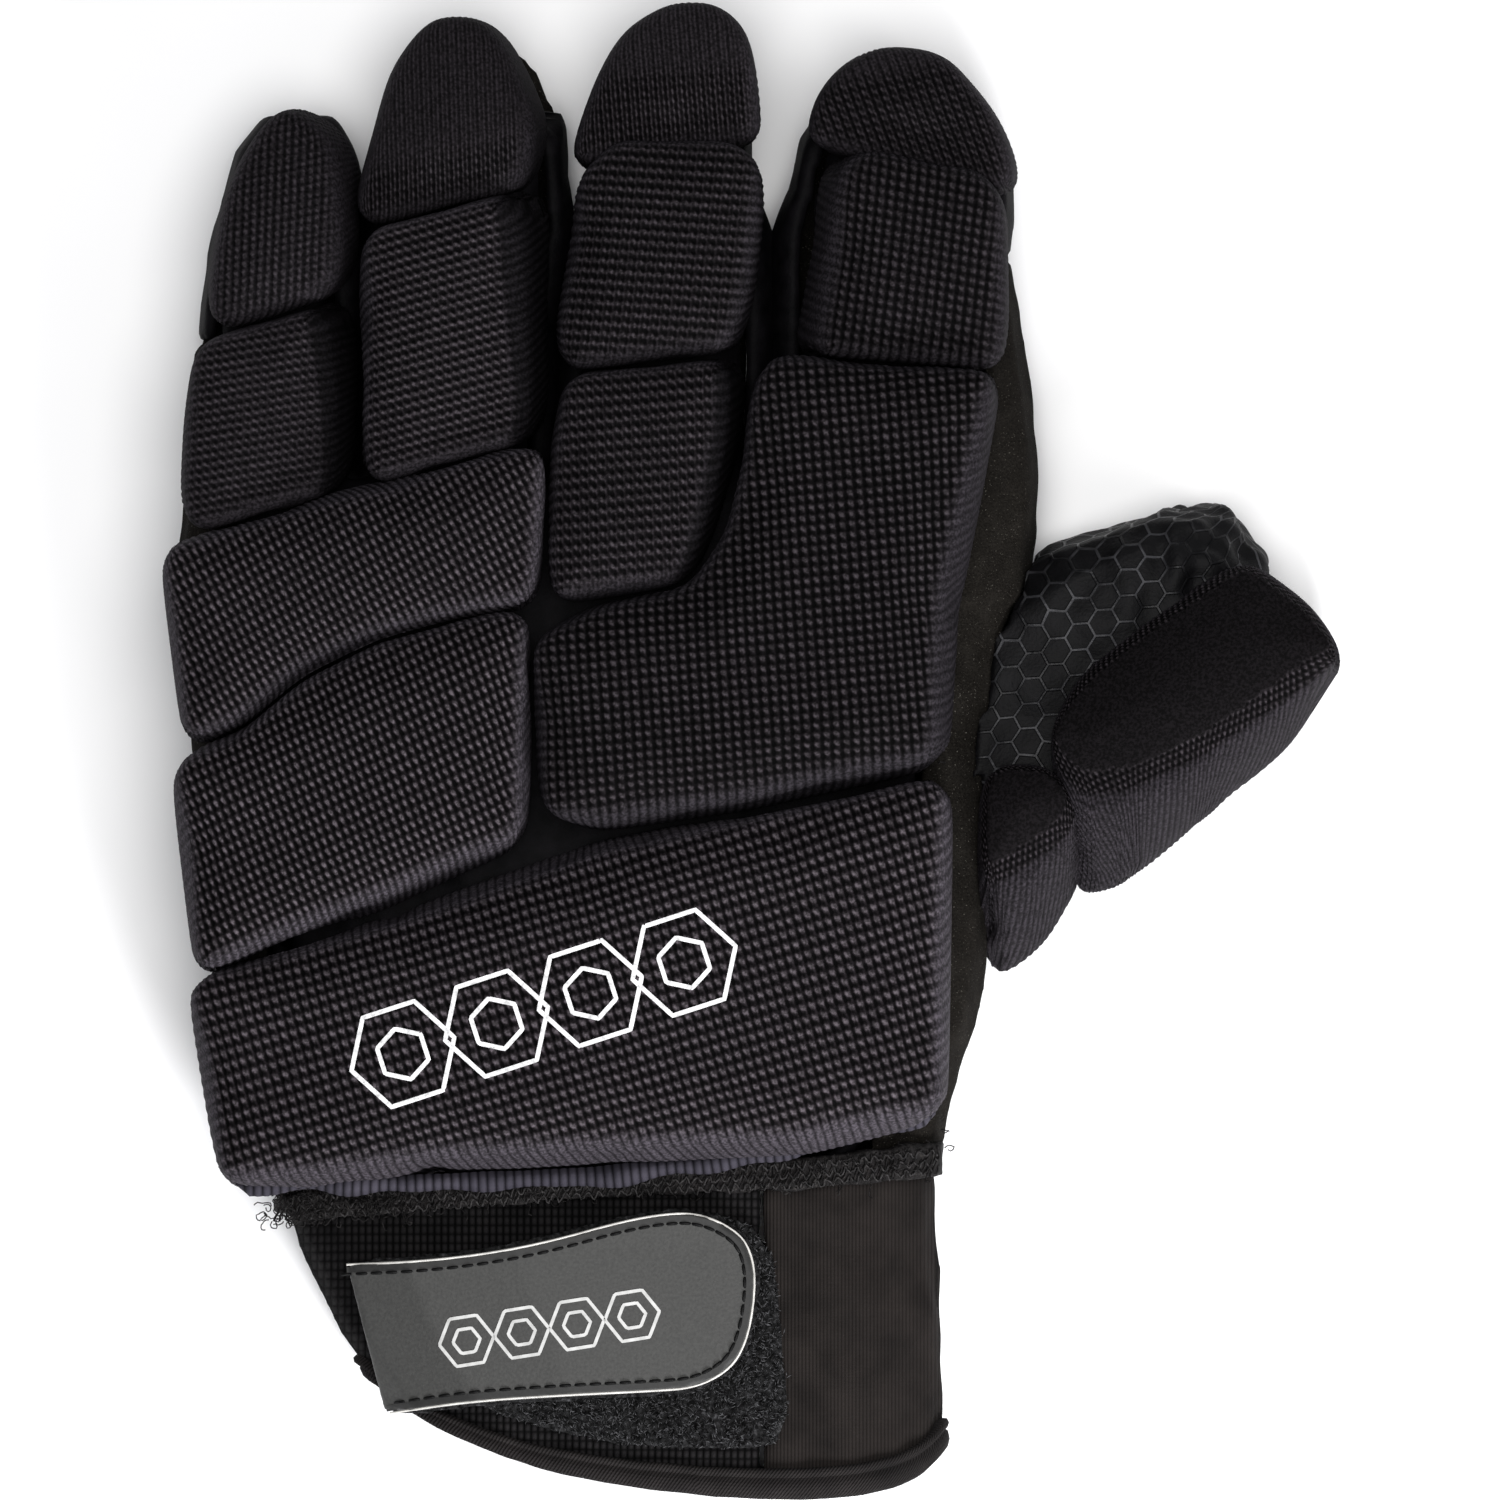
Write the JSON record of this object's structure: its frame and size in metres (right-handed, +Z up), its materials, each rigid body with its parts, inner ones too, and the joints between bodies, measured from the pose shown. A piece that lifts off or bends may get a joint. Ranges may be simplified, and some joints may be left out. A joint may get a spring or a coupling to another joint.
{
  "type": "indoor hockey glove",
  "caption": "Padded left-hand indoor hockey glove: foam blocks in ribbed knit on the back, suede sides, grip thumb and a strapped stretch cuff.",
  "frame": {"origin": "middle of the glove's bounding box in plan, on the surface that the palm lies on", "axes": "+Y along the fingers, +X towards the thumb, +Z up out of the back of the hand"},
  "size_m": [0.1958, 0.2499, 0.0475],
  "materials": {
    "suede": "matte suede",
    "stretch_fabric": "smooth stretch fabric",
    "pad_knit": "ribbed waffle knit",
    "grip_leather": "thin leather with a printed grip",
    "seam_thread": "overlocked thread",
    "cuff_rib": "fine rib knit",
    "cuff_mesh": "coarse mesh knit",
    "loop_pile": "fuzzy loop pile",
    "badge_rubber": "matte moulded"
  },
  "bodies": {
    "root": {"palm_panel": "suede", "index_side_wall": "suede", "little_side_wall": "suede", "fourchette_little_ring": "stretch_fabric", "fourchette_ring_middle": "stretch_fabric", "fourchette_middle_index": "stretch_fabric", "back_panel": "stretch_fabric", "thumb_stall": "grip_leather", "little_tip_pad": "pad_knit", "little_middle_pad": "pad_knit", "ring_tip_pad": "pad_knit", "ring_long_pad": "pad_knit", "middle_tip_pad": "pad_knit", "middle_middle_pad": "pad_knit", "middle_lower_pad": "pad_knit", "index_tip_pad": "pad_knit", "index_middle_pad": "pad_knit", "index_hand_pad": "pad_knit", "upper_knuckle_pad": "pad_knit", "lower_knuckle_pad": "pad_knit", "back_hand_pad": "pad_knit", "thumb_tip_pad": "pad_knit", "thumb_base_pad": "pad_knit", "cuff_rib_panel": "cuff_rib", "cuff_mesh_panel": "cuff_mesh", "hem_binding": "cuff_rib", "wrist_seam": "seam_thread", "loop_patch": "loop_pile", "strap_back": "loop_pile", "strap_badge": "badge_rubber"}
  },
  "joints": []
}
